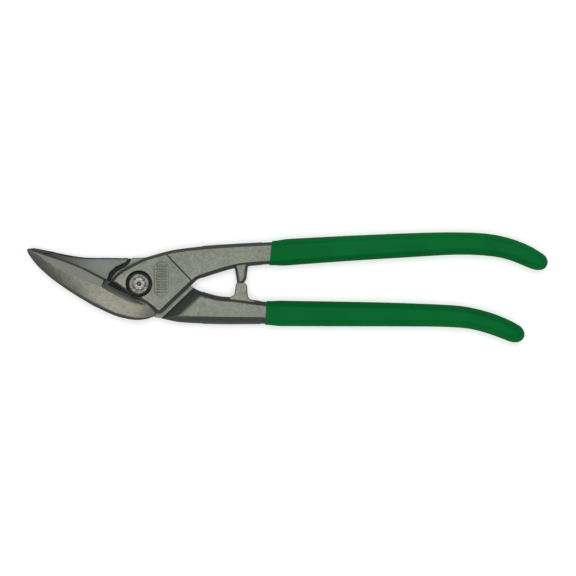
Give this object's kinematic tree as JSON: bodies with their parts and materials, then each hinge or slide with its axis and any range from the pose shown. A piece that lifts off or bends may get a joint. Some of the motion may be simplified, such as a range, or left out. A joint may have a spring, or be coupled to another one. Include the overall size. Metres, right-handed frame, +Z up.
{
  "type": "ideal pattern sheet metal snips",
  "caption": "Drop-forged sheet-metal snips with a single bolted pivot, short curved blades, long solid handles with stops and dipped grips; cuts straight lines and shapes.",
  "frame": {"origin": "on the pivot axis, on the underside of the bolt's head, which is the surface that the snips lie on", "axes": "+Z up along the pivot axis, +X from the pivot to the handle ends, +Y from the lower handle to the upper handle"},
  "size_m": [0.2809, 0.0596, 0.0136],
  "materials": {
    "forged_steel": "satin grey drop forging",
    "turned_steel": "satin, turned",
    "spring_steel": "blued",
    "dipped_vinyl": "satin dipped vinyl"
  },
  "bodies": {
    "rear": {"rear_half": "forged_steel", "pivot_bolt": "turned_steel", "pivot_nut": "turned_steel", "disc_spring": "spring_steel", "lower_grip": "dipped_vinyl"},
    "front": {"front_half": "forged_steel", "upper_grip": "dipped_vinyl"}
  },
  "joints": [
    {"name": "pivot", "type": "hinge", "parent": "rear", "child": "front", "pos_m": [0, 0, 0.0068], "axis": [0, 0, 1], "range_deg": [0, 30]}
  ]
}
